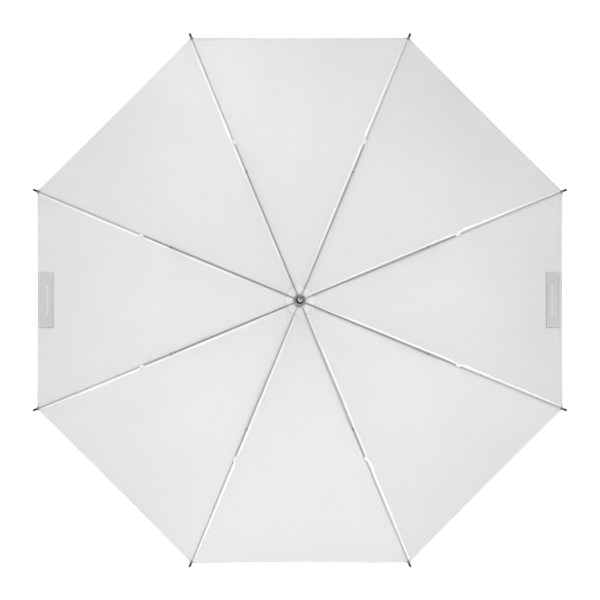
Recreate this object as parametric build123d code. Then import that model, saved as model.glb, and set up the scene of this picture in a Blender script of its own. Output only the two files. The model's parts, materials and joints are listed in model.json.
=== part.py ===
from build123d import *

import os
from math import asin, atan2, cos, degrees, hypot, radians, sin, tan

# Umbrella reflector for a studio light: a folding octagonal canopy on a thin tubular shaft.
# Millimetres. The shaft lies along Y with the crown at +Y, and the hollow of the canopy faces -Y.
# The origin is on the shaft's axis, at the middle of the stretch that a light's holder grips.
# An arm (rib and stretcher) and a gore of the canopy are drawn with X outward, Y along the shaft and
# Z sideways, and are then turned about the shaft into their places. Gore n lies between ribs n and n + 1.

ARM_COUNT = 8
ARM_STEP = 360 / ARM_COUNT
FIRST_ARM = ARM_STEP / 2
HALF_GORE = radians(ARM_STEP / 2)

# Shaft
SHAFT_R = 4.0
SHAFT_BORE_R = 3.4
GRIP_LENGTH = 150.0
GRIP_GROOVE = (1.5, 0.35)
CROWN_Y = 630.0
SHAFT_TOP = 14.0

# Rib line: an almost straight inner channel, then a more curved outer rod
PIVOT_R = 8.0
CRIMP_R = 305.0
ROD_END_R = 497.0
SLOPE_AT_CROWN = radians(10)
SLOPE_AT_CRIMP = radians(16)
SLOPE_AT_TIP = radians(42)
INNER_BEND_R = (CRIMP_R - PIVOT_R) / (sin(SLOPE_AT_CRIMP) - sin(SLOPE_AT_CROWN))
OUTER_BEND_R = (ROD_END_R - CRIMP_R) / (sin(SLOPE_AT_TIP) - sin(SLOPE_AT_CRIMP))
CRIMP_Y = CROWN_Y - INNER_BEND_R * (cos(SLOPE_AT_CROWN) - cos(SLOPE_AT_CRIMP))

# Rib channel and rod
RIB_HALF_WIDTH = 1.1
RIB_HALF_DEPTH = 1.3
CHANNEL_WALL = 0.4
CHANNEL_START_R = 22.0
CHANNEL_PAST_CRIMP = 1.8
EYE_HALF_WIDTH = 0.6
EYE_HALF_DEPTH = 1.2
EYE_R = 1.6
EYE_LAP = 4.0
ROD_R = 1.0
ROD_START = 4.0
CRIMP_PIN_R = 0.5
CRIMP_EYE_R = 1.2
CRIMP_PLAY = 0.06

# Stretcher joint, on an ear that hangs below the rib
JOINT_R = 248.0
JOINT_DROP = 4.2
EAR_HALF_WIDTH = 0.6
EAR_R = 1.8
RIVET_R = 0.9
RIVET_PLAY = 0.07
RIVET_HEAD_R = 1.6
RIVET_HEAD = (1.4, 1.9)
STRETCHER_HALF_DEPTH = 1.2
STRETCHER_EYE_LENGTH = 14.0
WEB_CUTBACK = 3.6

# Crown and runner, each with its ring of pivot wire
HUB_R = 10.0
SLOT_HALF_WIDTH = 0.9
SLOT_BOTTOM_R = 5.9
SLOT_BACK = 2.2
WIRE_R = 0.55
WIRE_TUNNEL_R = 0.6
WIRE_EYE_R = 0.65
HUB_EDGE = 0.8
CROWN_TOP = 4.0
CROWN_BOTTOM = 4.0
CROWN_BEVEL = 1.5
RUNNER_BORE_R = 4.25
RUNNER_SLEEVE_R = 7.8
RUNNER_TOP = 3.2
RUNNER_FLANGE = 4.2
RUNNER_SHOULDER = 2.0
RUNNER_EDGE = 0.6
RUNNER_BEAD = (4.0, 5.0)
RUNNER_LENGTH = 50.0
KEYWAY = (1.1, 6.5)
PRESS_GAP = 0.02

# Plug in the shaft's free end
CAP_R = 3.6
CAP_PLUG = 10.0
CAP_DOME = (2.0, 3.4, 3.8)

# Spring latches and the runner's stop pin
LATCH_HALF_WIDTH = 0.5
LATCH_SLOT_HALF_WIDTH = 0.8
LATCH_NOSE_R = 6.0
LATCH_NOSE_LENGTH = 12.0
LATCH_FOOT_LENGTH = 20.0
LATCH_FOOT = (-0.5, 3.0)
LATCH_FLAT = 2.0
LATCH_SINK = 0.2
LATCH_GAP = 0.8
STOP_PIN_R = 1.0
STOP_PIN_REACH = 5.4
STOP_PIN_GAP = 0.4

# Tips
TIP_R = 1.9
TIP_COLLAR_R = 2.6
TIP_CUP = 8.0
TIP_COLLAR = (2.0, 3.0)
TIP_NOSE = 5.0
TIP_PLAY = 0.1

# Canopy and its two centre discs
CANOPY_INNER_R = 13.0
CANOPY_CORNER_R = 490.0
CANOPY_RISE = 2.9
CANOPY_THICK = 0.8
CANOPY_FACETS = (3, 6)
SEAM_GAP = 0.2
INNER_ROSETTE = (11.0, 29.0)
INNER_ROSETTE_RISE = 1.6
OUTER_ROSETTE_R = 16.0
ROSETTE_THICK = 0.5

# Ferrule over the crown
FERRULE_FLANGE_R = 7.5
FERRULE_NECK_R = 5.2
FERRULE_TIP_R = 3.2
FERRULE_LENGTH = 30.0
FERRULE_STEPS = (1.2, 3.0, 14.0)
FERRULE_ROUND = (1.2, 3.0, 0.6)


def rib_slope(radius):
    """Angle of a rib's line to the plane square to the shaft, at this distance from the axis."""
    if radius <= CRIMP_R:
        return asin(sin(SLOPE_AT_CROWN) + (radius - PIVOT_R) / INNER_BEND_R)
    return asin(sin(SLOPE_AT_CRIMP) + (radius - CRIMP_R) / OUTER_BEND_R)


def rib_point(radius, rise=0.0):
    """Point of the rib's line at this distance from the axis, raised square to the line."""
    slope = rib_slope(radius)
    if radius <= CRIMP_R:
        height = CROWN_Y - INNER_BEND_R * (cos(SLOPE_AT_CROWN) - cos(slope))
    else:
        height = CRIMP_Y - OUTER_BEND_R * (cos(SLOPE_AT_CRIMP) - cos(slope))
    return radius + rise * sin(slope), height + rise * cos(slope)


# The stretcher is as long as the rib's inner pivot is from the joint, so the runner stays on the shaft
JOINT = rib_point(JOINT_R, -JOINT_DROP)
STRETCHER_LENGTH = hypot(JOINT[0] - PIVOT_R, CROWN_Y - JOINT[1])
OPEN_ANGLE = atan2(JOINT[0] - PIVOT_R, CROWN_Y - JOINT[1])
FOLDED_ANGLE = radians(6.9)
RUNNER_Y = CROWN_Y - 2 * STRETCHER_LENGTH * cos(OPEN_ANGLE)
RUNNER_Y_FOLDED = CROWN_Y - 2 * STRETCHER_LENGTH * cos(FOLDED_ANGLE)
UPPER_LATCH_Y = RUNNER_Y - RUNNER_LENGTH - LATCH_GAP - LATCH_NOSE_LENGTH / 2
LOWER_LATCH_Y = RUNNER_Y_FOLDED + RUNNER_TOP + LATCH_GAP + LATCH_NOSE_LENGTH / 2
STOP_PIN_Y = RUNNER_Y + RUNNER_TOP + STOP_PIN_R + STOP_PIN_GAP


def rib_band(start_r, end_r, low, high, half_width):
    """Flat bar that follows the rib's line between two radii and two rises."""
    middle_r = (start_r + end_r) / 2
    outline = [
        ThreePointArc(rib_point(start_r, low), rib_point(middle_r, low), rib_point(end_r, low)),
        Line(rib_point(end_r, low), rib_point(end_r, high)),
        ThreePointArc(rib_point(end_r, high), rib_point(middle_r, high), rib_point(start_r, high)),
        Line(rib_point(start_r, high), rib_point(start_r, low)),
    ]
    return extrude(make_face(outline), half_width, both=True)


def cross_pin(point, radius, half_length):
    """Cylinder that lies across an arm."""
    return Pos(point[0], point[1], 0) * Cylinder(radius, 2 * half_length)


def turned(outline):
    """Solid turned about the shaft's axis from points (radius, y)."""
    return revolve(make_face(Polyline(*outline, close=True)), Axis.Y)


def wire_ring(radius, y):
    """Ring of round wire about the shaft's axis."""
    return revolve(Pos(PIVOT_R, y) * Circle(radius), Axis.Y)


def block(x_range, y_range, z_range):
    """Box between three pairs of coordinates."""
    size = [high - low for low, high in (x_range, y_range, z_range)]
    centre = [(high + low) / 2 for low, high in (x_range, y_range, z_range)]
    return Pos(*centre) * Box(*size)


def place_arm(solid, arm):
    """Turn a solid drawn on the X axis about the shaft to arm 1, 2, ... or to a gore, half an arm on."""
    return Rot(0, -(FIRST_ARM + ARM_STEP * (arm - 1)), 0) * solid


def rib():
    """Channel from the crown to the crimp: eye, two walls, web, joint ear and crimp pin."""
    eye = rib_band(PIVOT_R, CHANNEL_START_R + EYE_LAP, -EYE_HALF_DEPTH, EYE_HALF_DEPTH, EYE_HALF_WIDTH)
    eye += cross_pin((PIVOT_R, CROWN_Y), EYE_R, EYE_HALF_WIDTH)
    eye -= cross_pin((PIVOT_R, CROWN_Y), WIRE_EYE_R, RIB_HALF_WIDTH)
    wall_end = CRIMP_R + CHANNEL_PAST_CRIMP
    outside = rib_band(CHANNEL_START_R, CRIMP_R, -RIB_HALF_DEPTH, RIB_HALF_DEPTH, RIB_HALF_WIDTH)
    outside += rib_band(CRIMP_R, wall_end, -RIB_HALF_DEPTH, RIB_HALF_DEPTH, RIB_HALF_WIDTH)
    gap = RIB_HALF_WIDTH - CHANNEL_WALL
    floor = CHANNEL_WALL - RIB_HALF_DEPTH
    inside = rib_band(CHANNEL_START_R - 1, CRIMP_R, floor, RIB_HALF_DEPTH + 1, gap)
    inside += rib_band(CRIMP_R - WEB_CUTBACK, CRIMP_R, -RIB_HALF_DEPTH - 1, 0, gap)
    inside += rib_band(CRIMP_R, wall_end + 1, -RIB_HALF_DEPTH - 1, RIB_HALF_DEPTH + 1, gap)
    ear_top = RIB_HALF_DEPTH - CHANNEL_WALL / 2
    ear = Polyline(
        rib_point(JOINT_R - 2 * EAR_R, -ear_top),
        rib_point(JOINT_R - EAR_R, -JOINT_DROP),
        rib_point(JOINT_R + EAR_R, -JOINT_DROP),
        rib_point(JOINT_R + 2 * EAR_R, -ear_top),
        close=True,
    )
    ear = extrude(make_face(ear), EAR_HALF_WIDTH, both=True) + cross_pin(JOINT, EAR_R, EAR_HALF_WIDTH)
    ear -= cross_pin(JOINT, RIVET_R + PRESS_GAP, RIB_HALF_WIDTH)
    pin = cross_pin((CRIMP_R, CRIMP_Y), CRIMP_PIN_R, RIB_HALF_WIDTH - CHANNEL_WALL / 2)
    return (outside - inside) + eye + ear + pin


def rib_rod():
    """Springy outer rod, with a flattened eye on the channel's crimp pin."""
    crimp = (CRIMP_R, CRIMP_Y)
    start_r = CRIMP_R + ROD_START
    end_r = ROD_END_R
    path = ThreePointArc(rib_point(start_r), rib_point((start_r + end_r) / 2), rib_point(end_r))
    rod = sweep(Plane(origin=path @ 0, z_dir=path % 0) * Circle(ROD_R), path)
    tongue = rib_band(CRIMP_R, start_r + 2, -0.9 * ROD_R, 0.9 * ROD_R, EAR_HALF_WIDTH)
    tongue += cross_pin(crimp, CRIMP_EYE_R, EAR_HALF_WIDTH)
    return rod + tongue - cross_pin(crimp, CRIMP_PIN_R + CRIMP_PLAY, RIB_HALF_WIDTH)


def joint_rivet():
    """Headed pin through the ear and the stretcher's fork."""
    inner, outer = RIVET_HEAD
    rivet = cross_pin(JOINT, RIVET_R, outer)
    head = Pos(*JOINT, (inner + outer) / 2) * Cylinder(RIVET_HEAD_R, outer - inner)
    return rivet + head + mirror(head, Plane.XY)


def stretcher():
    """Straight channel from the joint's fork to the eye on the runner's wire."""
    channel_end = STRETCHER_LENGTH - STRETCHER_EYE_LENGTH
    gap = RIB_HALF_WIDTH - CHANNEL_WALL
    depth = STRETCHER_HALF_DEPTH
    wall = block((0, channel_end), (-depth, depth), (gap, RIB_HALF_WIDTH))
    wall += Pos(0, 0, (gap + RIB_HALF_WIDTH) / 2) * Cylinder(EYE_R, CHANNEL_WALL)
    web = block((WEB_CUTBACK, channel_end), (depth - CHANNEL_WALL, depth), (-gap, gap))
    eye = block((channel_end - 2 * EYE_LAP, STRETCHER_LENGTH), (-depth, depth), (-EYE_HALF_WIDTH, EYE_HALF_WIDTH))
    eye += cross_pin((STRETCHER_LENGTH, 0), EYE_R, EYE_HALF_WIDTH)
    eye -= cross_pin((STRETCHER_LENGTH, 0), WIRE_EYE_R, RIB_HALF_WIDTH)
    whole = wall + mirror(wall, Plane.XY) + web + eye
    whole -= cross_pin((0, 0), RIVET_R + RIVET_PLAY, RIVET_HEAD[1])
    turn = degrees(atan2(-cos(OPEN_ANGLE), -sin(OPEN_ANGLE)))
    return Pos(*JOINT, 0) * Rot(0, 0, turn) * whole


def rib_tip():
    """Turned cap with a collar, on the rod's end."""
    bore_r = ROD_R + TIP_PLAY
    straight, sloped = TIP_COLLAR
    nose_start = TIP_NOSE - TIP_R
    outline = Polyline(
        (bore_r, -TIP_CUP),
        (TIP_COLLAR_R, -TIP_CUP),
        (TIP_COLLAR_R, straight - TIP_CUP),
        (TIP_R, sloped - TIP_CUP),
        (TIP_R, nose_start),
    )
    nose = ThreePointArc(
        (TIP_R, nose_start),
        (TIP_R * sin(radians(45)), nose_start + TIP_R * cos(radians(45))),
        (0, TIP_NOSE),
    )
    bore = Polyline((0, TIP_NOSE), (0, PRESS_GAP), (bore_r, PRESS_GAP), (bore_r, -TIP_CUP))
    tip = revolve(make_face(outline.edges() + nose.edges() + bore.edges()), Axis.Y)
    lean = degrees(SLOPE_AT_TIP) + 90
    return Pos(*rib_point(ROD_END_R), 0) * Rot(0, 0, -lean) * tip


def gore():
    """One panel of the canopy, stretched straight from rib to rib: an extrusion along its own hem."""
    inner, outer = CANOPY_FACETS
    radii = [CANOPY_INNER_R + (CRIMP_R - CANOPY_INNER_R) * k / inner for k in range(inner)]
    radii += [CRIMP_R + (CANOPY_CORNER_R - CRIMP_R) * k / outer for k in range(outer + 1)]

    def sheet_line(rise):
        return [
            (radius * cos(HALF_GORE), rib_point(radius)[1] + rise / cos(rib_slope(radius)))
            for radius in radii
        ]

    under = sheet_line(CANOPY_RISE)
    over = sheet_line(CANOPY_RISE + CANOPY_THICK)
    profile = make_face(Polyline(*under, *reversed(over), close=True))
    sheet = extrude(profile, CANOPY_CORNER_R, both=True)
    near, far = CANOPY_INNER_R / 2, CANOPY_CORNER_R
    near_half = near * tan(HALF_GORE) - SEAM_GAP
    far_half = far * tan(HALF_GORE) - SEAM_GAP
    corners = [(near, 0, -near_half), (far, 0, -far_half), (far, 0, far_half), (near, 0, near_half)]
    wedge = make_face(Polyline(*corners, close=True))
    return sheet & extrude(wedge, CROWN_Y + CROWN_TOP, dir=(0, 1, 0))


def arm_slots(solid, y_range):
    """Cut the eight slots of a hub, open outward and to one end."""
    slot = block((SLOT_BOTTOM_R, HUB_R + 5), y_range, (-SLOT_HALF_WIDTH, SLOT_HALF_WIDTH))
    for arm in range(1, ARM_COUNT + 1):
        solid -= place_arm(slot, arm)
    return solid


def crown():
    """Top hub, fixed on the shaft, with slots for the rib eyes and a tunnel for their wire."""
    body = turned(
        [
            (SHAFT_R + PRESS_GAP, CROWN_Y - CROWN_BOTTOM),
            (HUB_R - CROWN_BEVEL, CROWN_Y - CROWN_BOTTOM),
            (HUB_R, CROWN_Y - CROWN_BOTTOM + CROWN_BEVEL),
            (HUB_R, CROWN_Y + CROWN_TOP - HUB_EDGE),
            (HUB_R - HUB_EDGE, CROWN_Y + CROWN_TOP),
            (SHAFT_R + PRESS_GAP, CROWN_Y + CROWN_TOP),
        ]
    )
    body = arm_slots(body, (CROWN_Y - CROWN_BOTTOM - 1, CROWN_Y + SLOT_BACK))
    return body - wire_ring(WIRE_TUNNEL_R, CROWN_Y)


def runner():
    """Sliding hub: slotted flange on a sleeve, with a keyway over the latches."""
    bottom = RUNNER_Y - RUNNER_LENGTH
    flange, top = RUNNER_Y - RUNNER_FLANGE, RUNNER_Y + RUNNER_TOP
    neck_r = RUNNER_SLEEVE_R - RUNNER_EDGE
    bead_end, neck_start = RUNNER_BEAD
    body = turned(
        [
            (RUNNER_BORE_R, bottom),
            (neck_r, bottom),
            (RUNNER_SLEEVE_R, bottom + RUNNER_EDGE),
            (RUNNER_SLEEVE_R, bottom + bead_end),
            (neck_r, bottom + neck_start),
            (neck_r, flange - RUNNER_SHOULDER),
            (HUB_R - RUNNER_EDGE, flange),
            (HUB_R, flange + RUNNER_EDGE),
            (HUB_R, top - HUB_EDGE),
            (HUB_R - HUB_EDGE, top),
            (RUNNER_BORE_R, top),
        ]
    )
    body = arm_slots(body, (RUNNER_Y - SLOT_BACK, top + 1))
    half_width, reach = KEYWAY
    body -= block((-half_width, half_width), (bottom - 1, top + 1), (0, reach))
    return body - wire_ring(WIRE_TUNNEL_R, RUNNER_Y)


def shaft():
    """Tube from the free end to inside the ferrule, grooved past the grip, with two latch slots."""
    low, high = -GRIP_LENGTH / 2, CROWN_Y + SHAFT_TOP
    groove_start = GRIP_LENGTH / 2
    groove_end = groove_start + GRIP_GROOVE[0]
    groove_r = SHAFT_R - GRIP_GROOVE[1]
    tube = turned([(SHAFT_BORE_R, low), (SHAFT_R, low), (SHAFT_R, high), (SHAFT_BORE_R, high)])
    tube -= turned(
        [(groove_r, groove_start), (SHAFT_R + 1, groove_start), (SHAFT_R + 1, groove_end), (groove_r, groove_end)]
    )
    half_width, half_length = LATCH_SLOT_HALF_WIDTH, LATCH_NOSE_LENGTH / 2 + 0.5
    for y in (UPPER_LATCH_Y, LOWER_LATCH_Y):
        tube -= block((-half_width, half_width), (y - half_length, y + half_length), (0, SHAFT_R + 1))
    stop_hole = Pos(0, STOP_PIN_Y, 0) * Rot(0, 90, 0) * Cylinder(STOP_PIN_R + PRESS_GAP, 4 * SHAFT_R)
    return tube - stop_hole


def latch(y, catch):
    """Spring catch in the tube: a foot too long for the slot, and a wedge nose that stands out of it.

    catch is +1 for a nose whose steep face looks to +Y, -1 for one that looks to -Y.
    """
    foot_low, foot_high = LATCH_FOOT
    half_foot, half_nose = LATCH_FOOT_LENGTH / 2, LATCH_NOSE_LENGTH / 2
    outline = [
        (-half_foot, foot_low),
        (half_foot, foot_low),
        (half_foot, foot_high),
        (half_nose, foot_high),
        (half_nose, LATCH_NOSE_R),
        (half_nose - LATCH_FLAT, LATCH_NOSE_R),
        (-half_nose, SHAFT_R - LATCH_SINK),
        (-half_nose, foot_high),
        (-half_foot, foot_high),
    ]
    points = [(0, y + catch * along, up) for along, up in outline]
    return extrude(make_face(Polyline(*points, close=True)), LATCH_HALF_WIDTH, both=True)


def stop_pin():
    """Cross pin that the runner meets when the canopy is open."""
    return Pos(0, STOP_PIN_Y, 0) * Rot(0, 90, 0) * Cylinder(STOP_PIN_R, 2 * STOP_PIN_REACH)


def shaft_end_cap():
    """Plug in the free end, slimmer than the tube so a holder slides over it."""
    end = -GRIP_LENGTH / 2
    plug_r = SHAFT_BORE_R - PRESS_GAP
    straight, shoulder, nose = CAP_DOME
    return turned(
        [
            (0, end + CAP_PLUG),
            (plug_r, end + CAP_PLUG),
            (plug_r, end - PRESS_GAP),
            (CAP_R, end - PRESS_GAP),
            (CAP_R, end - straight),
            (CAP_R - shoulder + straight, end - shoulder),
            (0, end - nose),
        ]
    )


def top_ferrule():
    """Closed cap over the shaft's top end, which holds the canopy's centre down."""
    base = CROWN_Y + CROWN_TOP + 2 * PRESS_GAP + ROSETTE_THICK
    bore_r, bore_top = SHAFT_R + PRESS_GAP, CROWN_Y + SHAFT_TOP + PRESS_GAP
    flange_top, neck_start, neck_end = FERRULE_STEPS
    round_in, round_start, round_end = FERRULE_ROUND
    return turned(
        [
            (bore_r, base),
            (FERRULE_FLANGE_R, base),
            (FERRULE_FLANGE_R, base + flange_top),
            (FERRULE_NECK_R, base + neck_start),
            (FERRULE_NECK_R, base + neck_end),
            (FERRULE_TIP_R, base + FERRULE_LENGTH - round_start),
            (FERRULE_TIP_R - round_in, base + FERRULE_LENGTH - round_end),
            (0, base + FERRULE_LENGTH),
            (0, bore_top),
            (bore_r, bore_top),
        ]
    )


def inner_rosette():
    """Disc of cloth between the ribs and the canopy, which keeps the ribs from wearing it."""
    start, end = INNER_ROSETTE
    low, high = INNER_ROSETTE_RISE, INNER_ROSETTE_RISE + ROSETTE_THICK
    return turned([rib_point(start, low), rib_point(end, low), rib_point(end, high), rib_point(start, high)])


def outer_rosette():
    """Flat washer of cloth between the canopy's centre and the ferrule."""
    base = CROWN_Y + CROWN_TOP + PRESS_GAP
    inner_r = SHAFT_R + PRESS_GAP
    return turned(
        [
            (inner_r, base),
            (OUTER_ROSETTE_R, base),
            (OUTER_ROSETTE_R, base + ROSETTE_THICK),
            (inner_r, base + ROSETTE_THICK),
        ]
    )


def all_nodes():
    """Every sub-part by name."""
    nodes = {
        "shaft": shaft(),
        "shaft_end_cap": shaft_end_cap(),
        "top_ferrule": top_ferrule(),
        "crown": crown(),
        "crown_wire": wire_ring(WIRE_R, CROWN_Y),
        "inner_rosette": inner_rosette(),
        "outer_rosette": outer_rosette(),
        "stop_pin": stop_pin(),
        "runner": runner(),
        "runner_wire": wire_ring(WIRE_R, RUNNER_Y),
        "upper_latch": latch(UPPER_LATCH_Y, 1),
        "lower_latch": latch(LOWER_LATCH_Y, -1),
    }
    arm_parts = {
        "rib": rib(),
        "rib_rod": rib_rod(),
        "rib_tip": rib_tip(),
        "joint_rivet": joint_rivet(),
        "stretcher": stretcher(),
    }
    panel = gore()
    for arm in range(1, ARM_COUNT + 1):
        for name, solid in arm_parts.items():
            nodes[f"{name}_{arm}"] = place_arm(solid, arm)
        nodes[f"canopy_gore_{arm}"] = place_arm(panel, arm + 0.5)
    return nodes


def main():
    os.makedirs("parts", exist_ok=True)
    for name, solid in all_nodes().items():
        export_step(solid, f"parts/{name}.step")
    print("joint", JOINT, "stretcher", STRETCHER_LENGTH, "open angle", degrees(OPEN_ANGLE))
    print("runner y", RUNNER_Y, RUNNER_Y_FOLDED, "crimp", (CRIMP_R, CRIMP_Y), "tip", rib_point(ROD_END_R))


main()
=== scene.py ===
import json
from math import asin, atan2, cos, exp, hypot, pi, radians, sin

import bpy
from mathutils import Matrix, Vector, noise

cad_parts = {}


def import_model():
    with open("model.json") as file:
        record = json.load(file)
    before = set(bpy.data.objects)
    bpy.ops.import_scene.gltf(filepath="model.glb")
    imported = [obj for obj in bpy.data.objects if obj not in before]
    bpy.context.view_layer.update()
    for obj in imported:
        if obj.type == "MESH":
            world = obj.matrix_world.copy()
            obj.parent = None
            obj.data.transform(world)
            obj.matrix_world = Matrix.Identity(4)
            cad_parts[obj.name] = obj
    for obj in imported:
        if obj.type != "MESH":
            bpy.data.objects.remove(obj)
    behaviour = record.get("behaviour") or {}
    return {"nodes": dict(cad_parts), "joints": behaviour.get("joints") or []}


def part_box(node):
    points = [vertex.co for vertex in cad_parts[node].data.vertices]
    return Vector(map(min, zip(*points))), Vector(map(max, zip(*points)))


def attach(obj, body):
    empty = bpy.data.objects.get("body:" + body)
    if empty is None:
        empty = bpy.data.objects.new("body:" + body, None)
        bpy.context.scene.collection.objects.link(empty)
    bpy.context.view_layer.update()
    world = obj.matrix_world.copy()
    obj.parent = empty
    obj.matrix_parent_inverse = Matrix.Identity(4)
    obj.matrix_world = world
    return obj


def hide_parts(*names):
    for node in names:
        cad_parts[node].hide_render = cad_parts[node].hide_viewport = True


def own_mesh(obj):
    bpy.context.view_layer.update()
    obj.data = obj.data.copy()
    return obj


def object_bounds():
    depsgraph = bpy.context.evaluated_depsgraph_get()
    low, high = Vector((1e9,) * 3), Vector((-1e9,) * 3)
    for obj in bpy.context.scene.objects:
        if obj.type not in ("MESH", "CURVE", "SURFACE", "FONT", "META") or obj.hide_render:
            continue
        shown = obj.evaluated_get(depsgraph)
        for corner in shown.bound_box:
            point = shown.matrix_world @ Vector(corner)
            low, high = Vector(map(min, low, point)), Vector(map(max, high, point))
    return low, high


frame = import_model()
CAD_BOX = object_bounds()

# The umbrella's shaft lies along +Y, the hollow of its canopy faces -Y, and eight ribs stand round it.
# A gore is made with X outward along its middle and Z towards the next rib, then turned into place.
MM = 0.001
ARMS = range(1, 9)
GORE_DEGREES = 45
HALF_GORE = radians(GORE_DEGREES / 2)
JOINTS = {joint["name"]: joint for joint in frame["joints"]}
CROWN_PIVOT = Vector(JOINTS["canopy_fold"]["pos_m"])
PIVOT_R = hypot(CROWN_PIVOT.x, CROWN_PIVOT.z)
CROWN_Y = CROWN_PIVOT.y

# Rib line, as the CAD model has it: two arcs that meet at the crimp
CRIMP_R = 305 * MM
ROD_END_R = 497 * MM
SLOPE_AT_CROWN = radians(10)
SLOPE_AT_CRIMP = radians(16)
SLOPE_AT_TIP = radians(42)
INNER_BEND_R = (CRIMP_R - PIVOT_R) / (sin(SLOPE_AT_CRIMP) - sin(SLOPE_AT_CROWN))
OUTER_BEND_R = (ROD_END_R - CRIMP_R) / (sin(SLOPE_AT_TIP) - sin(SLOPE_AT_CRIMP))
CRIMP_Y = CROWN_Y - INNER_BEND_R * (cos(SLOPE_AT_CROWN) - cos(SLOPE_AT_CRIMP))

# Canopy cloth
CLOTH_RISE = 2.4 * MM
TIP_RISE = 0.8 * MM
CLOTH_START_R = 12.5 * MM
HEM_R = 493.5 * MM
GORE_SAG = 4 * MM
HEM_BOW = 0.8 * MM
CLOTH_ROWS = 80
CLOTH_COLUMNS = 49

# Ripples round a tie: height, reach, rays, and how they turn with distance
PUCKER_HEIGHT = 0.7 * MM
PUCKER_REACH = 28 * MM
PUCKER_RAYS = 5
PUCKER_TWIST = 140

# Faint folds of the cloth, in waves per metre; each gore takes its own slice of the noise
FOLD_HEIGHT = 1.5 * MM
FOLDS_ACROSS = 42
FOLDS_ALONG = 3.5
FOLDS_APART = 7.3
FOLDS_LOST_AT_HEM = 0.65

# Seam allowance beside a rib: (across, down) of its section, and shares of its full width
SEAM_SECTION = [
    (-2.5 * MM, -0.1 * MM), (-2.6 * MM, 0.35 * MM), (-1.8 * MM, 0.8 * MM), (0.0, 0.95 * MM),
    (1.7 * MM, 0.8 * MM), (2.5 * MM, 0.35 * MM), (2.6 * MM, -0.1 * MM),
]
SEAM_START_R = 30 * MM
SEAM_END_R = HEM_R - 2 * MM
SEAM_FROM_RIB = 1.4 * MM
SEAM_HALF_WIDTH = 2.6 * MM
SEAM_STEPS = 120
SEAM_AT_CROWN = 0.52
SEAM_WIDENING = 0.38
SEAM_TIE_NOTCH = 0.5
SEAM_TIE_BULGE = 0.25
SEAM_TIP_NARROWING = 0.38
SEAM_WANDER = 0.22
SEAM_WANDERS_ALONG = 14
SEAM_WANDERS_APART = 5.1

# Hem: (across, down) of its rolled section, and how near it comes to the ribs
HEM_SECTION = [
    (0.1 * MM, -0.2 * MM), (0.3 * MM, 0.1 * MM), (0.1 * MM, 0.4 * MM), (-0.8 * MM, 0.5 * MM),
    (-2.6 * MM, 0.4 * MM), (-3.0 * MM, 0.12 * MM), (-3.0 * MM, -0.05 * MM), (-0.8 * MM, -0.2 * MM),
]
HEM_SHARE = 0.992
HEM_STEPS = 60

# Rows of stitches: pitch, length, width and height of a stitch
SEAM_STITCH = (3.4 * MM, 2.4 * MM, 0.45 * MM, 0.12 * MM)
HEM_STITCH = (3.2 * MM, 2.3 * MM, 0.35 * MM, 0.1 * MM)
ROSETTE_STITCH = (3.6 * MM, 2.2 * MM, 0.8 * MM, 0.25 * MM)
LABEL_STITCH = (2.8 * MM, 1.8 * MM, 0.4 * MM, 0.12 * MM)
SEAM_STITCH_DROP = 0.9 * MM
HEM_STITCH_IN = 2 * MM
HEM_STITCH_DROP = 0.42 * MM
STITCH_SHARES = (-1, -0.6, 0, 0.6, 1)
STITCH_CORNERS = ((-1, 0), (-0.5, 0.8), (0.5, 0.8), (1, 0), (0, -0.8))
STITCH_DIP = 0.3
STITCH_TAPER = 0.35

# Inner rosette, with a scalloped edge
ROSETTE_R = 27.5 * MM
ROSETTE_HOLE_R = 11.2 * MM
ROSETTE_SCALLOP = 1.8 * MM
ROSETTE_SCALLOPS = 12
ROSETTE_STITCH_R = 26 * MM
ROSETTE_DROPS = (0.35 * MM, 0.75 * MM)
ROSETTE_ROWS = 9
ROSETTE_COLUMNS = 49

# Hem labels: depths are measured in from the hem, drops down from the cloth
LABEL_GORES = (4, 8)
LABEL_LENGTH = 97 * MM
LABEL_INNER = 25.5 * MM
LABEL_OUTER = 0.4 * MM
LABEL_DROP = 0.55 * MM
LABEL_THICKNESS = 0.4 * MM
LABEL_ROWS = 9
LABEL_COLUMNS = 33
LABEL_BORDER = 2 * MM
BORDER_DROP = 0.96 * MM
BORDER_LONG_STEPS = 40
BORDER_SHORT_STEPS = 12
MARK_DROP = 0.94 * MM
MARK_THICKNESS = 0.1 * MM
# Name, inner and outer depth, and half length of each plain mark
LABEL_MARKS = (
    ("stripe", 17.5 * MM, 13.0 * MM, 28 * MM),
    ("line", 9.6 * MM, 8.8 * MM, 34 * MM),
)

# Rib tie: a thread wound round the rib at the crimp, with a knot and a loose end. The end starts beside
# and below the rib, and each of its steps goes down and outward.
TIE_SETBACK = 1.5 * MM
TIE_HALF_WIDTH = 1.7 * MM
TIE_HALF_DEPTH = 1.75 * MM
TIE_SQUARENESS = 1.35
TIE_TURNS = 12
TIE_PITCH = 0.62 * MM
TIE_STEPS = 20
TIE_THREAD_R = 0.36 * MM
TIE_KNOT_R = 0.95 * MM
TIE_KNOT_STEPS = 32
TIE_KNOT_SINK = 0.6 * MM
TIE_END_R = 0.22 * MM
TIE_END_START = (0.9 * MM, 0.9 * MM)
TIE_END_STEP = (0.5 * MM, 0.4 * MM)
TIE_END_POINTS = 6

# Outer rosette, with a pinked edge
OUTER_HOLE_R = 4.1 * MM
OUTER_TEETH = 40
OUTER_TOOTH = 0.9 * MM

# Camera: the canopy's share of the picture's width, and how far it stands off the shaft's line
LENS = 180.0
SENSOR = 36.0
FILL = 534.5 / 600
CAMERA_LEFT = radians(0.2)
CAMERA_BELOW = radians(0.4)
CLIP_END = 50

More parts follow.
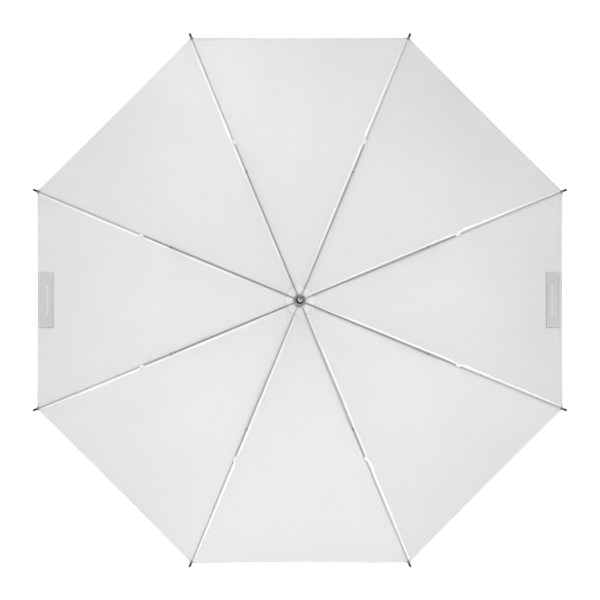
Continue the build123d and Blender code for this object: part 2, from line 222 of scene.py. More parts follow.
# Lights: name, place, target, size, watts, and how wide the beam spreads in degrees
LIGHTS = [
    ("key", (0.25, -3.2, 0.4), (0, 0.5, 0), (1.4, 4.2), 89, 180),
    ("side", (1.7, -2.2, 1.7), (0, 0.5, 0), (1.6, 1.6), 11, 180),
    ("middle", (0, -3.2, -0.1), (-0.02, 0.6, -0.12), (0.6, 0.6), 0.27, 18),
    ("top_hem", (-0.6, -2.6, -0.8), (-0.14, 0.46, 0.46), (0.3, 0.3), 0.085, 9),
    ("bottom_hem", (0, -2.6, 1.4), (-0.05, 0.46, -0.46), (0.3, 0.3), 0.035, 9),
    ("back_top", (-0.3, 2.2, 2.2), (0, 0.5, 0), (1.6, 1.6), 9, 180),
    ("back_low", (0, 2.3, -0.3), (0, 0.5, 0), (1.4, 0.8), 6, 180),
]

# Room light: from below to overhead, less in a doorway round -Y, and in slanted panels
ROOM_OVERHEAD = (0.02, 1.15)
DOORWAY = (-0.985, -0.9)
DOORWAY_LIGHT = (0.35, 1)
ROOM_PANELS = 2.5
PANEL_SLANT = 0.7
PANEL_EDGE = (-0.5, 0.5)
PANEL_LIGHT = (0.1, 1.9)
BACKDROP = 1.05

# Floor
FLOOR_R = 2.5
FLOOR_DROP = 0.5
FLOOR_MIDDLE_Y = 0.2
FLOOR_SIDES = 96


def rib_slope(radius):
    """Angle of a rib's line to the plane square to the shaft, at this distance from the axis."""
    if radius <= CRIMP_R:
        return asin(sin(SLOPE_AT_CROWN) + (radius - PIVOT_R) / INNER_BEND_R)
    return asin(sin(SLOPE_AT_CRIMP) + (radius - CRIMP_R) / OUTER_BEND_R)


def rib_height(radius):
    """Height along the shaft of a rib's line at this distance from the axis."""
    slope = rib_slope(radius)
    if radius <= CRIMP_R:
        return CROWN_Y - INNER_BEND_R * (cos(SLOPE_AT_CROWN) - cos(slope))
    return CRIMP_Y - OUTER_BEND_R * (cos(SLOPE_AT_CRIMP) - cos(slope))


def turned(degrees):
    """Matrix that turns the X axis about the shaft by this angle, towards +Z."""
    return Matrix.Rotation(-radians(degrees), 4, "Y")


def arm_angle(arm):
    return GORE_DEGREES * (arm - 0.5)


def gore_angle(gore):
    return GORE_DEGREES * gore


def window(value, low, high):
    """0 below low, 1 above high, smooth between."""
    share = min(1, max(0, (value - low) / (high - low)))
    return share * share * (3 - 2 * share)


def hump(value, middle, width):
    """1 at the middle, falling to 0 on both sides."""
    return exp(-(((value - middle) / width) ** 2))


def spread(low, high, count):
    """Evenly spaced values, both ends included."""
    return [low + (high - low) * k / (count - 1) for k in range(count)]


# ---- mesh making ----


def new_piece(name, verts, faces, material, uvs=None, smooth=True):
    mesh = bpy.data.meshes.new(name)
    mesh.from_pydata([tuple(v) for v in verts], [], faces)
    mesh.update()
    if uvs is not None:
        layer = mesh.uv_layers.new(name="cloth")
        for loop in mesh.loops:
            layer.data[loop.index].uv = uvs[loop.vertex_index]
    mesh.materials.append(material)
    for polygon in mesh.polygons:
        polygon.use_smooth = smooth
    piece = bpy.data.objects.new(name, mesh)
    bpy.context.scene.collection.objects.link(piece)
    return piece


def grid_faces(rows, columns, start=0, flip=False):
    faces = []
    for i in range(rows - 1):
        for j in range(columns - 1):
            a = start + i * columns + j
            face = (a, a + 1, a + columns + 1, a + columns)
            faces.append(face[::-1] if flip else face)
    return faces


def slab_faces(rows, columns, flip=False):
    """Thin closed sheet: two grids of points, one below the other, and the strips round their edge."""
    count = rows * columns
    faces = grid_faces(rows, columns) + grid_faces(rows, columns, count, flip=True)
    last = (rows - 1) * columns
    for j in range(columns - 1):
        faces.append((j + 1, j, count + j, count + j + 1))
        faces.append((last + j, last + j + 1, count + last + j + 1, count + last + j))
    for i in range(rows - 1):
        a, b = i * columns, (i + 1) * columns
        c, d = a + columns - 1, b + columns - 1
        faces.append((a, b, count + b, count + a))
        faces.append((d, c, count + c, count + d))
    return [face[::-1] for face in faces] if flip else faces


def loft(rings):
    """Closed solid through rings of points, with flat ends."""
    count = len(rings[0])
    verts = [point for ring in rings for point in ring]
    faces = []
    for i in range(len(rings) - 1):
        for j in range(count):
            k = (j + 1) % count
            faces.append((i * count + j, i * count + k, (i + 1) * count + k, (i + 1) * count + j))
    faces.append(tuple(reversed(range(count))))
    faces.append(tuple(range((len(rings) - 1) * count, len(rings) * count)))
    return verts, faces


def merge(parts):
    """One list of vertices and faces from several."""
    verts, faces = [], []
    for more_verts, more_faces in parts:
        start = len(verts)
        verts += more_verts
        faces += [tuple(start + index for index in face) for face in more_faces]
    return verts, faces


def tube(points, radius, sides=8):
    """Round thread along a list of points."""
    aside = Vector((0.3, 1, 0.2))
    rings = []
    for i, point in enumerate(points):
        ahead = points[min(i + 1, len(points) - 1)] - points[max(i - 1, 0)]
        side = ahead.cross(aside).normalized()
        up = side.cross(ahead).normalized()
        ring = []
        for k in range(sides):
            turn = 2 * pi * k / sides
            ring.append(point + (side * cos(turn) + up * sin(turn)) * radius)
        rings.append(ring)
    return loft(rings)


def stitch(centre, along, up, length, width, height):
    """Short thread that dips into the cloth at both ends."""
    side = along.cross(up).normalized()
    rings = []
    for share in STITCH_SHARES:
        lift = height * (1 - share * share) - STITCH_DIP * height
        middle = centre + along * (share * length / 2) + up * lift
        half = width / 2 * (1 - STITCH_TAPER * share * share)
        rings.append([middle + (side * a + up * b) * half for a, b in STITCH_CORNERS])
    return loft(rings)


def stitches(points, normals, pitch, length, width, height):
    """Row of stitches along a path."""
    parts = []
    travelled, target = 0.0, pitch / 2
    for i in range(len(points) - 1):
        run = points[i + 1] - points[i]
        while travelled + run.length >= target:
            centre = points[i] + run * ((target - travelled) / run.length)
            parts.append(stitch(centre, run.normalized(), normals[i], length, width, height))
            target += pitch
        travelled += run.length
    return merge(parts)


def swept_band(name, paths, section, mat):
    """Closed band: each path entry is (point, across, down); section holds (across, down) in metres."""
    rings = [[point + across * a + down * b for a, b in section] for point, across, down in paths]
    verts, faces = loft(rings)
    lengths = [0.0]
    for before, after in zip(paths, paths[1:]):
        lengths.append(lengths[-1] + (after[0] - before[0]).length)
    uvs = [(a, length) for length in lengths for a, b in section]
    return new_piece(name, verts, faces, mat, uvs)


# ---- materials ----


def material(name, color, roughness, metallic=0.0):
    mat = bpy.data.materials.new(name)
    mat.use_nodes = True
    shader = mat.node_tree.nodes["Principled BSDF"]
    shader.inputs["Base Color"].default_value = (*color, 1)
    shader.inputs["Roughness"].default_value = roughness
    shader.inputs["Metallic"].default_value = metallic
    mat.diffuse_color = (*color, 1)
    return mat, mat.node_tree, shader


def add(tree, kind, **values):
    """New node; each value is set on the input of that name, or else on the node."""
    node = tree.nodes.new(kind)
    for key, value in values.items():
        if key in node.inputs:
            node.inputs[key].default_value = value
        else:
            setattr(node, key, value)
    return node


def compute(tree, operation, *values):
    """Result of a Math node, whose values are numbers or other nodes' outputs."""
    node = add(tree, "ShaderNodeMath", operation=operation)
    for socket, value in zip(node.inputs, values):
        if isinstance(value, bpy.types.NodeSocket):
            tree.links.new(value, socket)
        else:
            socket.default_value = value
    return node.outputs[0]


def remap(tree, value, source, target):
    """Number carried over from one range to another, and kept inside it."""
    node = add(tree, "ShaderNodeMapRange")
    node.inputs["From Min"].default_value, node.inputs["From Max"].default_value = source
    node.inputs["To Min"].default_value, node.inputs["To Max"].default_value = target
    tree.links.new(value, node.inputs["Value"])
    return node.outputs["Result"]


def place_vector(tree, source, scale):
    """Texture coordinates, stretched by a scale in each direction, in waves per metre."""
    coordinates = add(tree, "ShaderNodeTexCoord")
    mapping = add(tree, "ShaderNodeMapping")
    mapping.inputs["Scale"].default_value = scale
    tree.links.new(coordinates.outputs[source], mapping.inputs["Vector"])
    return mapping.outputs["Vector"]


NOISE_RANGE = (0.3, 0.7)


def mottle(tree, source, scale, low, high, detail=4.0):
    """Colour that wanders between two colours."""
    texture = add(tree, "ShaderNodeTexNoise", Scale=1.0, Detail=detail)
    tree.links.new(place_vector(tree, source, scale), texture.inputs["Vector"])
    ramp = add(tree, "ShaderNodeValToRGB")
    for element, position, color in zip(ramp.color_ramp.elements, NOISE_RANGE, (low, high)):
        element.position = position
        element.color = (*color, 1)
    tree.links.new(texture.outputs["Fac"], ramp.inputs["Fac"])
    return ramp.outputs["Color"]


def grain(tree, source, scale, low, high, detail=5.0):
    """Number that wanders between two values, such as a roughness."""
    texture = add(tree, "ShaderNodeTexNoise", Scale=1.0, Detail=detail)
    tree.links.new(place_vector(tree, source, scale), texture.inputs["Vector"])
    return remap(tree, texture.outputs["Fac"], NOISE_RANGE, (low, high))


def weave_bump(tree, threads, distance, ripple, ripple_distance):
    """Warp and weft ridges, over slow ripples of the cloth."""
    ridges = []
    for direction in ("X", "Y"):
        wave = add(tree, "ShaderNodeTexWave", Scale=1.0, Distortion=0.6, Detail=1.0)
        wave.bands_direction = direction
        tree.links.new(place_vector(tree, "UV", (threads, threads, threads)), wave.inputs["Vector"])
        ridges.append(wave.outputs["Fac"])
    slow = add(tree, "ShaderNodeBump", Strength=1.0, Distance=ripple_distance)
    tree.links.new(grain(tree, "UV", ripple, 0, 1, 3.0), slow.inputs["Height"])
    fine = add(tree, "ShaderNodeBump", Strength=1.0, Distance=distance)
    tree.links.new(compute(tree, "MAXIMUM", *ridges), fine.inputs["Height"])
    tree.links.new(slow.outputs["Normal"], fine.inputs["Normal"])
    return fine.outputs["Normal"]


def cloth_material(name, low, high, through, threads=1500, ripple_distance=0.15 * MM):
    """White nylon: woven bump, faint mottling, soft sheen, and some light let through."""
    mat, tree, shader = material(name, high, 0.62)
    shader.inputs["Specular IOR Level"].default_value = 0.25
    shader.inputs["Sheen Weight"].default_value = 0.12
    shader.inputs["Sheen Roughness"].default_value = 0.5
    color = mottle(tree, "UV", (9, 5, 5), low, high)
    normal = weave_bump(tree, threads, 0.02 * MM, (26, 9, 9), ripple_distance)
    tree.links.new(color, shader.inputs["Base Color"])
    tree.links.new(normal, shader.inputs["Normal"])
    if through > 0:
        glow = add(tree, "ShaderNodeBsdfTranslucent", Color=(*high, 1))
        mix = add(tree, "ShaderNodeMixShader", Fac=through)
        output = tree.nodes["Material Output"]
        tree.links.new(normal, glow.inputs["Normal"])
        tree.links.new(shader.outputs["BSDF"], mix.inputs[1])
        tree.links.new(glow.outputs["BSDF"], mix.inputs[2])
        tree.links.new(mix.outputs["Shader"], output.inputs["Surface"])
    return mat


def thread_material(name, low, high):
    """Dull thread with a fine twist in its surface."""
    mat, tree, shader = material(name, high, 0.7)
    tree.links.new(mottle(tree, "Object", (900, 900, 900), low, high), shader.inputs["Base Color"])
    bump = add(tree, "ShaderNodeBump", Strength=0.5, Distance=0.05 * MM)
    tree.links.new(grain(tree, "Object", (2500, 2500, 2500), 0, 1), bump.inputs["Height"])
    tree.links.new(bump.outputs["Normal"], shader.inputs["Normal"])
    return mat


def metal_material(name, low, high, rough_low, rough_high, streak, bump_distance):
    """Metal with a direction of polish: streak is its waves per metre along X, Y and Z."""
    mat, tree, shader = material(name, high, rough_high, 1.0)
    tree.links.new(mottle(tree, "Object", streak, low, high), shader.inputs["Base Color"])
    tree.links.new(grain(tree, "Object", streak, rough_low, rough_high), shader.inputs["Roughness"])
    bump = add(tree, "ShaderNodeBump", Strength=0.4, Distance=bump_distance)
    tree.links.new(grain(tree, "Object", streak, 0, 1), bump.inputs["Height"])
    tree.links.new(bump.outputs["Normal"], shader.inputs["Normal"])
    return mat


def tip_material():
    """Blackened nose on a grey cup, told apart by their distance from the shaft."""
    mat, tree, shader = material("tip_metal", (0.1, 0.1, 0.1), 0.4, 1.0)
    cup = mottle(tree, "Object", (500, 500, 500), (0.3, 0.3, 0.3), (0.42, 0.42, 0.42))
    nose = mottle(tree, "Object", (500, 500, 500), (0.05, 0.05, 0.05), (0.1, 0.1, 0.1))
    across = add(tree, "ShaderNodeVectorMath", operation="LENGTH")
    tree.links.new(place_vector(tree, "Object", (1, 0, 1)), across.inputs[0])
    share = remap(tree, across.outputs["Value"], (HEM_R - 1 * MM, HEM_R + 1 * MM), (0, 1))
    mix = add(tree, "ShaderNodeMix", data_type="RGBA")
    tree.links.new(share, mix.inputs["Factor"])
    tree.links.new(cup, mix.inputs[6])
    tree.links.new(nose, mix.inputs[7])
    tree.links.new(mix.outputs[2], shader.inputs["Base Color"])
    tree.links.new(grain(tree, "Object", (700, 700, 700), 0.3, 0.5), shader.inputs["Roughness"])
    return mat


NYLON = cloth_material("white_nylon", (0.69, 0.69, 0.69), (0.72, 0.72, 0.72), 0.22)
SEAM_CLOTH = cloth_material("seam_cloth", (0.81, 0.81, 0.81), (0.87, 0.87, 0.87), 0.0)
HEM_CLOTH = cloth_material("hem_cloth", (0.72, 0.72, 0.72), (0.76, 0.76, 0.76), 0.12)
ROSETTE_CLOTH = cloth_material("rosette_cloth", (0.80, 0.80, 0.80), (0.84, 0.84, 0.84), 0.12)
LABEL_CLOTH = cloth_material("label_cloth", (0.5, 0.5, 0.5), (0.54, 0.54, 0.54), 0.0, threads=900)
MARK_CLOTH = cloth_material("label_mark", (0.57, 0.57, 0.57), (0.61, 0.61, 0.61), 0.0, threads=900)
THREAD = thread_material("white_thread", (0.82, 0.82, 0.82), (0.93, 0.93, 0.93))
# Dark grey thread for the rosette's stitches: painted shade standing in for the shaded gaps along the
# rosette's edge.
GAP_SHADE_THREAD = thread_material("grey_thread_painted_gap_shade", (0.36, 0.36, 0.36), (0.46, 0.46, 0.46))
CHROME = metal_material(
    "chrome", (0.72, 0.73, 0.74), (0.82, 0.83, 0.84), 0.06, 0.16, (300, 60, 300), 0.01 * MM,
)
# Chrome of the crown, runner and end cap with its colour darkened: painted shade standing in for the dark
# reflections on the hub.
DARKENED_HUB_METAL = metal_material(
    "hub_metal_painted_dark_reflection", (0.24, 0.24, 0.245), (0.50, 0.50, 0.505), 0.05, 0.14, (230, 60, 230), 0.03 * MM,
)
RIB_STEEL = metal_material(
    "rib_steel", (0.54, 0.54, 0.545), (0.68, 0.68, 0.685), 0.3, 0.45, (350, 350, 350), 0.02 * MM,
)
ROD_STEEL = metal_material(
    "rod_steel", (0.62, 0.62, 0.625), (0.74, 0.74, 0.745), 0.25, 0.4, (350, 350, 350), 0.02 * MM,
)
DARK_STEEL = metal_material(
    "dark_steel", (0.04, 0.04, 0.04), (0.08, 0.08, 0.08), 0.35, 0.5, (500, 500, 500), 0.02 * MM,
)
WIRE = metal_material(
    "drawn_wire", (0.5, 0.5, 0.5), (0.62, 0.62, 0.62), 0.2, 0.35, (400, 400, 400), 0.01 * MM,
)
TIP_METAL = tip_material()

NODE_MATERIALS = {
    "shaft": CHROME, "shaft_end_cap": DARKENED_HUB_METAL, "top_ferrule": CHROME, "crown": DARKENED_HUB_METAL,
    "crown_wire": WIRE, "stop_pin": WIRE, "runner": DARKENED_HUB_METAL, "runner_wire": WIRE,
    "upper_latch": WIRE, "lower_latch": WIRE,
}
ARM_MATERIALS = {
    "rib": RIB_STEEL, "rib_rod": ROD_STEEL, "rib_tip": TIP_METAL, "joint_rivet": DARK_STEEL,
    "stretcher": RIB_STEEL,
}
for arm in ARMS:
    for node, mat in ARM_MATERIALS.items():
        NODE_MATERIALS[f"{node}_{arm}"] = mat
for node, mat in NODE_MATERIALS.items():
    frame["nodes"][node].data.materials.clear()
    frame["nodes"][node].data.materials.append(mat)


# ---- canopy ----


def inward(radius):
    """Direction square to a gore's cloth, to the inside."""
    slope = rib_slope(radius)
    return Vector((-sin(slope), -cos(slope), 0))


def outward(radius):
    """Direction along a gore's middle line, away from the shaft."""
    slope = rib_slope(radius)
    return Vector((cos(slope), -sin(slope), 0))


def pucker(radius, share):
    """Ripples where a tie pulls the cloth to a rib."""
    along = radius - CRIMP_R
    across = (1 - abs(share)) * radius * sin(HALF_GORE)
    reach = hypot(along, across)
    ray = atan2(along, across + 1e-6)
    return PUCKER_HEIGHT * hump(reach, 0, PUCKER_REACH) * cos(PUCKER_RAYS * ray + PUCKER_TWIST * reach)


def tension_folds(gore, radius, share):
    """Faint folds that run out from the crown, with none along the ribs."""
    across = share * radius * sin(HALF_GORE)
    place = Vector((across * FOLDS_ACROSS, radius * FOLDS_ALONG, FOLDS_APART * gore))
    strength = (1 - share * share) * (1 - FOLDS_LOST_AT_HEM * window(radius, 150 * MM, 450 * MM))
    return FOLD_HEIGHT * strength * noise.noise(place)


def cloth_point(gore, radius, share, drop=0.0):
    """Point of a gore's cloth. share runs from -1 at one rib to 1 at the next; drop goes to the inside."""
    near_hem = window(radius, 300 * MM, HEM_R)
    pulled = radius - HEM_BOW * (1 - share * share) * near_hem
    slope = rib_slope(radius)
    rise = CLOTH_RISE + TIP_RISE * window(radius, HEM_R - 20 * MM, HEM_R - 4 * MM)
    height = rib_height(pulled) + rise / cos(slope)
    height -= GORE_SAG * (1 - share * share) * sin(pi * min(1, radius / HEM_R)) ** 2
    height += pucker(radius, share) + tension_folds(gore, radius, share)
    point = Vector((pulled * cos(HALF_GORE), height, share * radius * sin(HALF_GORE)))
    return point + inward(radius) * drop


def canopy_cloth(gore):
    """The gore's panel: one sheet from the crown to the hem."""
    radii = spread(CLOTH_START_R, HEM_R, CLOTH_ROWS)
    shares = spread(-1, 1, CLOTH_COLUMNS)
    verts = [cloth_point(gore, radius, share) for radius in radii for share in shares]
    uvs = [(share * radius * sin(HALF_GORE), radius) for radius in radii for share in shares]
    faces = grid_faces(CLOTH_ROWS, CLOTH_COLUMNS)
    return new_piece(f"canopy_cloth_{gore}", verts, faces, NYLON, uvs)


def seam_share(radius, offset):
    """Share of the gore's width at this distance from its first rib."""
    return -1 + offset / (radius * sin(HALF_GORE))


def seam_width(gore, radius):
    """Share of its full width that the seam allowance shows: less at the crown, the tie and the tip."""
    place = Vector((radius * SEAM_WANDERS_ALONG, SEAM_WANDERS_APART * gore, 3))
    full = SEAM_AT_CROWN + SEAM_WIDENING * window(radius, 50 * MM, 120 * MM)
    full -= SEAM_TIE_NOTCH * hump(radius, CRIMP_R, 8 * MM)
    full += SEAM_TIE_BULGE * hump(radius, CRIMP_R + 18 * MM, 14 * MM)
    full -= SEAM_TIP_NARROWING * window(radius, 400 * MM, HEM_R)
    return full * (1 + SEAM_WANDER * noise.noise(place))


def seam_band(gore):
    """Doubled seam allowance beside the gore's first rib, and its row of stitches."""
    paths, top, ups = [], [], []
    for radius in spread(SEAM_START_R, SEAM_END_R, SEAM_STEPS):
        width = seam_width(gore, radius)
        offset = SEAM_FROM_RIB + SEAM_HALF_WIDTH * width
        point = cloth_point(gore, radius, seam_share(radius, offset))
        paths.append((point, Vector((0, 0, width)), inward(radius)))
        top.append(point + inward(radius) * SEAM_STITCH_DROP)
        ups.append(inward(radius))
    band = swept_band(f"seam_band_{gore}", paths, SEAM_SECTION, SEAM_CLOTH)
    row = stitches(top, ups, *SEAM_STITCH)
    return band, new_piece(f"seam_stitches_{gore}", *row, THREAD)


def hem(gore):
    """Rolled hem along the gore's edge, and its row of stitches."""
    down, out = inward(HEM_R), outward(HEM_R)
    paths, row = [], []
    for share in spread(-HEM_SHARE, HEM_SHARE, HEM_STEPS):
        point = cloth_point(gore, HEM_R, share)
        paths.append((point, out, down))
        row.append(point - out * HEM_STITCH_IN + down * HEM_STITCH_DROP)
    band = swept_band(f"hem_{gore}", paths, HEM_SECTION, HEM_CLOTH)
    sewn = stitches(row, [down] * len(row), *HEM_STITCH)
    return band, new_piece(f"hem_stitches_{gore}", *sewn, THREAD)


def rosette_point(gore, radius, angle, drop):
    """Point under a gore's cloth, by distance from the shaft and angle from the gore's middle."""
    x, z = radius * cos(angle), radius * sin(angle)
    rib_r = x / cos(HALF_GORE)
    point = cloth_point(gore, rib_r, z / (rib_r * sin(HALF_GORE)))
    return Vector((x, point.y, z)) + inward(rib_r) * drop


def rosette_sector(gore):
    """One gore's share of the round inner rosette, and its row of dark grey stitches, which are painted
    shade standing in for the shaded gaps along its edge.
    """
    angles = spread(-HALF_GORE, HALF_GORE, ROSETTE_COLUMNS)
    verts = []
    for drop in ROSETTE_DROPS:
        for step in spread(0, 1, ROSETTE_ROWS):
            for angle in angles:
                edge_r = ROSETTE_R + ROSETTE_SCALLOP * abs(sin(angle * ROSETTE_SCALLOPS))
                radius = ROSETTE_HOLE_R + (edge_r - ROSETTE_HOLE_R) * step
                verts.append(rosette_point(gore, radius, angle, drop))
    faces = slab_faces(ROSETTE_ROWS, ROSETTE_COLUMNS)
    uvs = [(v.x, v.z) for v in verts]
    piece = new_piece(f"rosette_{gore}", verts, faces, ROSETTE_CLOTH, uvs)
    ring = [rosette_point(gore, ROSETTE_STITCH_R, angle, ROSETTE_DROPS[1]) for angle in angles]
    row = stitches(ring, [inward(ROSETTE_STITCH_R)] * len(ring), *ROSETTE_STITCH)
    return piece, new_piece(f"rosette_stitches_{gore}", *row, GAP_SHADE_THREAD)


def label_point(gore, depth, along, drop):
    """Point under a gore's cloth, by depth in from the hem and distance along it from the middle."""
    radius = HEM_R - depth / cos(HALF_GORE)
    return cloth_point(gore, radius, along / (radius * sin(HALF_GORE)), drop)


def label_patch(name, gore, inner, outer, half_length, drop, thickness, mat):
    """Thin closed patch that follows the cloth."""
    places = []
    for depth in spread(outer, inner, LABEL_ROWS):
        for along in spread(-half_length, half_length, LABEL_COLUMNS):
            places.append((depth, along))
    verts = []
    for level in (drop, drop + thickness):
        verts += [label_point(gore, depth, along, level) for depth, along in places]
    faces = slab_faces(LABEL_ROWS, LABEL_COLUMNS, flip=True)
    return new_piece(name, verts, faces, mat, places * 2)


def label_border(gore):
    """Path of the stitches round a label, a little in from its edge."""
    end = LABEL_LENGTH / 2 - LABEL_BORDER
    inner, outer = LABEL_INNER - LABEL_BORDER, LABEL_OUTER + LABEL_BORDER
    border = [(inner, along) for along in spread(-end, end, BORDER_LONG_STEPS)]
    border += [(depth, end) for depth in spread(inner, outer, BORDER_SHORT_STEPS)]
    border += [(outer, along) for along in spread(end, -end, BORDER_LONG_STEPS)]
    border += [(depth, -end) for depth in spread(outer, inner, BORDER_SHORT_STEPS)]
    return [label_point(gore, depth, along, BORDER_DROP) for depth, along in border]


def label(gore):
    """Plain grey hem label: patch, two plain light stripes and a sewn border, with no lettering."""
    patch = label_patch(
        f"label_{gore}", gore, LABEL_INNER, LABEL_OUTER, LABEL_LENGTH / 2,
        LABEL_DROP, LABEL_THICKNESS, LABEL_CLOTH,
    )
    extras = []
    for name, inner, outer, half_length in LABEL_MARKS:
        extras.append(label_patch(
            f"label_{name}_{gore}", gore, inner, outer, half_length,
            MARK_DROP, MARK_THICKNESS, MARK_CLOTH,
        ))
    path = label_border(gore)
    row = stitches(path, [inward(HEM_R)] * len(path), *LABEL_STITCH)
    extras.append(new_piece(f"label_stitches_{gore}", *row, THREAD))
    return patch, extras


def fit_gore(piece, gore):
    """Turn a piece into its gore, hang it on the gore's body, and give it a mesh of its own."""
    piece.data.transform(turned(gore_angle(gore)))
    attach(piece, f"gore_{gore}")
    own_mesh(piece)


def fit_label(gore):
    """Sew a label on the gore's cloth."""
    patch, extras = label(gore)
    for piece in [patch] + extras:
        fit_gore(piece, gore)


def build_gore(gore):
    """All the cloth of one gore."""
    cloth = canopy_cloth(gore)
    seam, seam_row = seam_band(gore)
    hem_band, hem_row = hem(gore)
    rosette, rosette_row = rosette_sector(gore)
    fit_gore(cloth, gore)
    fit_gore(hem_band, gore)
    fit_gore(seam, gore)
    fit_gore(rosette, gore)
    for row in (seam_row, hem_row, rosette_row):
        fit_gore(row, gore)
    if gore in LABEL_GORES:
        fit_label(gore)
    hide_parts(f"canopy_gore_{gore}")
    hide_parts("inner_rosette")


# ---- ties, outer rosette ----


def squared(value):
    """A turn's sine, cut off at 1 so that the thread runs flat over the rib's faces."""
    return max(-1, min(1, TIE_SQUARENESS * value))


def tie_winding(centre, along, up, side):
    """Thread wound round the rib."""
    points = []
    for k in range(TIE_TURNS * TIE_STEPS + 1):
        turns = k / TIE_STEPS
        across = side * (TIE_HALF_WIDTH * squared(cos(2 * pi * turns)))
        rise = up * (TIE_HALF_DEPTH * squared(sin(2 * pi * turns)))
        points.append(centre + along * (TIE_PITCH * (turns - TIE_TURNS / 2)) + across + rise)
    return tube(points, TIE_THREAD_R)


def tie_knot(centre, up, side):
    """Small tangle of thread beside the rib."""
    middle = centre + side * (TIE_HALF_WIDTH + TIE_KNOT_R) - up * TIE_KNOT_SINK
    points = []
    for k in range(TIE_KNOT_STEPS + 1):
        turn = 2 * pi * k / TIE_KNOT_STEPS
        points.append(middle + Vector((cos(2 * turn), sin(3 * turn), sin(2 * turn))) * TIE_KNOT_R)
    return tube(points, TIE_THREAD_R)


def tie_end(centre, along, up, side):
    """Loose end that hangs from the knot."""
    beside, below = TIE_END_START
    fall, drift = TIE_END_STEP
    start = centre + side * (TIE_HALF_WIDTH + beside) - up * below
    points = [start - up * (fall * k) + along * (drift * k) for k in range(TIE_END_POINTS)]
    return tube(points, TIE_END_R)


def rib_tie(arm):
    """White thread wound round the rib where the channel ends, with a knot on one side."""
    along = outward(CRIMP_R)
    up = -inward(CRIMP_R)
    side = Vector((0, 0, 1))
    centre = Vector((CRIMP_R, rib_height(CRIMP_R), 0)) - along * TIE_SETBACK
    verts, faces = merge([
        tie_winding(centre, along, up, side), tie_knot(centre, up, side), tie_end(centre, along, up, side),
    ])
    piece = new_piece(f"rib_tie_{arm}", verts, faces, THREAD)
    piece.data.transform(turned(arm_angle(arm)))
    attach(piece, f"rib_{arm}")


def ring_points(radii, y):
    """Points round the shaft at one height, one for each radius."""
    step = 2 * pi / len(radii)
    return [Vector((radius * cos(step * k), y, radius * sin(step * k))) for k, radius in enumerate(radii)]


def outer_rosette():
    """Washer of cloth with a pinked edge, under the ferrule."""
    low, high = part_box("outer_rosette")
    inner = [OUTER_HOLE_R] * (2 * OUTER_TEETH)
    outer = [high.x, high.x - OUTER_TOOTH] * OUTER_TEETH
    loops = [
        ring_points(inner, low.y), ring_points(outer, low.y),
        ring_points(outer, high.y), ring_points(inner, high.y),
    ]
    verts = [point for loop in loops for point in loop]
    count = len(inner)
    faces = []
    for level in range(4):
        a, b = level * count, (level + 1) % 4 * count
        for k in range(count):
            n = (k + 1) % count
            faces.append((a + k, a + n, b + n, b + k))
    uvs = [(v.x, v.z) for v in verts]
    piece = new_piece("outer_rosette_cloth", verts, faces, ROSETTE_CLOTH, uvs, smooth=False)
    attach(piece, "shaft")
    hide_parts("outer_rosette")


# ---- camera, light and floor ----


def facing(direction):
    """Rotation that points a camera or a light along a direction."""
    return direction.to_track_quat("-Z", "Y").to_euler()


def camera():
    """Long lens nearly on the shaft's line, a little below it and to its left."""
    data = bpy.data.cameras.new("camera")
    data.lens = LENS
    data.sensor_width = SENSOR
    data.clip_end = CLIP_END
    width = (CAD_BOX[1].x - CAD_BOX[0].x) / FILL
    distance = width * LENS / SENSOR
    rim = Vector((0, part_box("rib_tip_1")[0].y, 0))
    back = Vector((-sin(CAMERA_LEFT), -1, -sin(CAMERA_BELOW))).normalized()
    obj = bpy.data.objects.new("camera", data)
    obj.location = rim + back * distance
    obj.rotation_euler = facing(-back)
    bpy.context.scene.collection.objects.link(obj)
    bpy.context.scene.camera = obj


def softbox(name, place, target, size, power, beam):
    """Soft light, kept out of the metal's reflections as a scrim would."""
    data = bpy.data.lights.new(name, "AREA")
    data.shape = "RECTANGLE"
    data.size, data.size_y = size
    data.energy = power
    data.spread = radians(beam)
    obj = bpy.data.objects.new(name, data)
    obj.location = place
    obj.rotation_euler = facing(Vector(target) - Vector(place))
    obj.visible_glossy = False
    bpy.context.scene.collection.objects.link(obj)


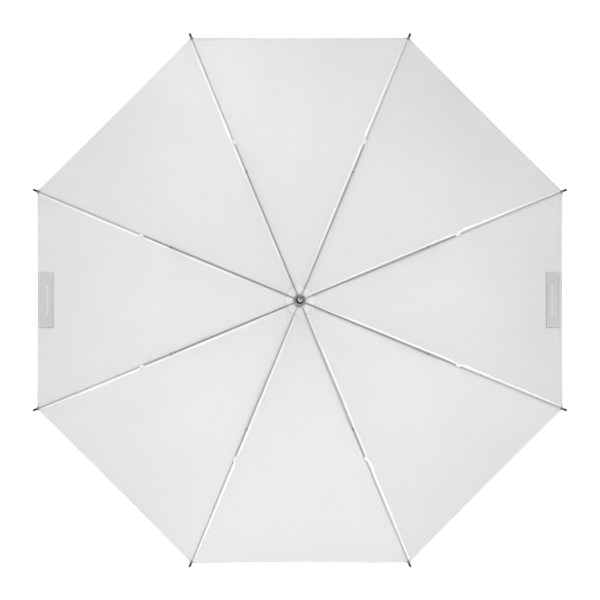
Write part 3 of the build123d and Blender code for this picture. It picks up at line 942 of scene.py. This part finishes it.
def room_light(tree):
    """Strength of the room's light by direction: brighter overhead, darker by the doorway, in panels."""
    direction = add(tree, "ShaderNodeTexCoord")
    split = add(tree, "ShaderNodeSeparateXYZ")
    tree.links.new(direction.outputs["Generated"], split.inputs[0])
    x, y, z = split.outputs
    overhead = remap(tree, z, (-1, 1), ROOM_OVERHEAD)
    doorway = remap(tree, y, DOORWAY, DOORWAY_LIGHT)
    slant = compute(tree, "MULTIPLY_ADD", z, PANEL_SLANT, x)
    wave = compute(tree, "SINE", compute(tree, "MULTIPLY", slant, ROOM_PANELS * 2 * pi))
    panels = remap(tree, wave, PANEL_EDGE, PANEL_LIGHT)
    return compute(tree, "MULTIPLY", compute(tree, "MULTIPLY", overhead, doorway), panels)


def world():
    """White backdrop to the camera; as light, a studio grey with slanted panels for the metal to reflect."""
    sky = bpy.data.worlds.new("studio")
    sky.use_nodes = True
    bpy.context.scene.world = sky
    tree = sky.node_tree
    tree.nodes.clear()
    light = add(tree, "ShaderNodeBackground")
    tree.links.new(room_light(tree), light.inputs["Strength"])
    seen = add(tree, "ShaderNodeBackground", Color=(1, 1, 1, 1), Strength=BACKDROP)
    path = add(tree, "ShaderNodeLightPath")
    mix = add(tree, "ShaderNodeMixShader")
    output = add(tree, "ShaderNodeOutputWorld")
    tree.links.new(path.outputs["Is Camera Ray"], mix.inputs[0])
    tree.links.new(light.outputs[0], mix.inputs[1])
    tree.links.new(seen.outputs[0], mix.inputs[2])
    tree.links.new(mix.outputs[0], output.inputs["Surface"])


def floor():
    """Pale round floor, well below the canopy."""
    mat, tree, shader = material("floor", (0.78, 0.78, 0.78), 0.8)
    color = mottle(tree, "Object", (2, 2, 2), (0.77, 0.77, 0.77), (0.79, 0.79, 0.79))
    tree.links.new(color, shader.inputs["Base Color"])
    height = CAD_BOX[0].z - FLOOR_DROP
    verts = []
    for k in range(FLOOR_SIDES):
        turn = 2 * pi * k / FLOOR_SIDES
        verts.append((FLOOR_R * cos(turn), FLOOR_MIDDLE_Y + FLOOR_R * sin(turn), height))
    new_piece("floor", verts, [tuple(range(FLOOR_SIDES))], mat)


for gore in ARMS:
    build_gore(gore)
for arm in ARMS:
    rib_tie(arm)
outer_rosette()
camera()
world()
floor()
for light in LIGHTS:
    softbox(*light)

scene = bpy.context.scene
scene.view_settings.view_transform = "Standard"
scene.view_settings.look = "None"
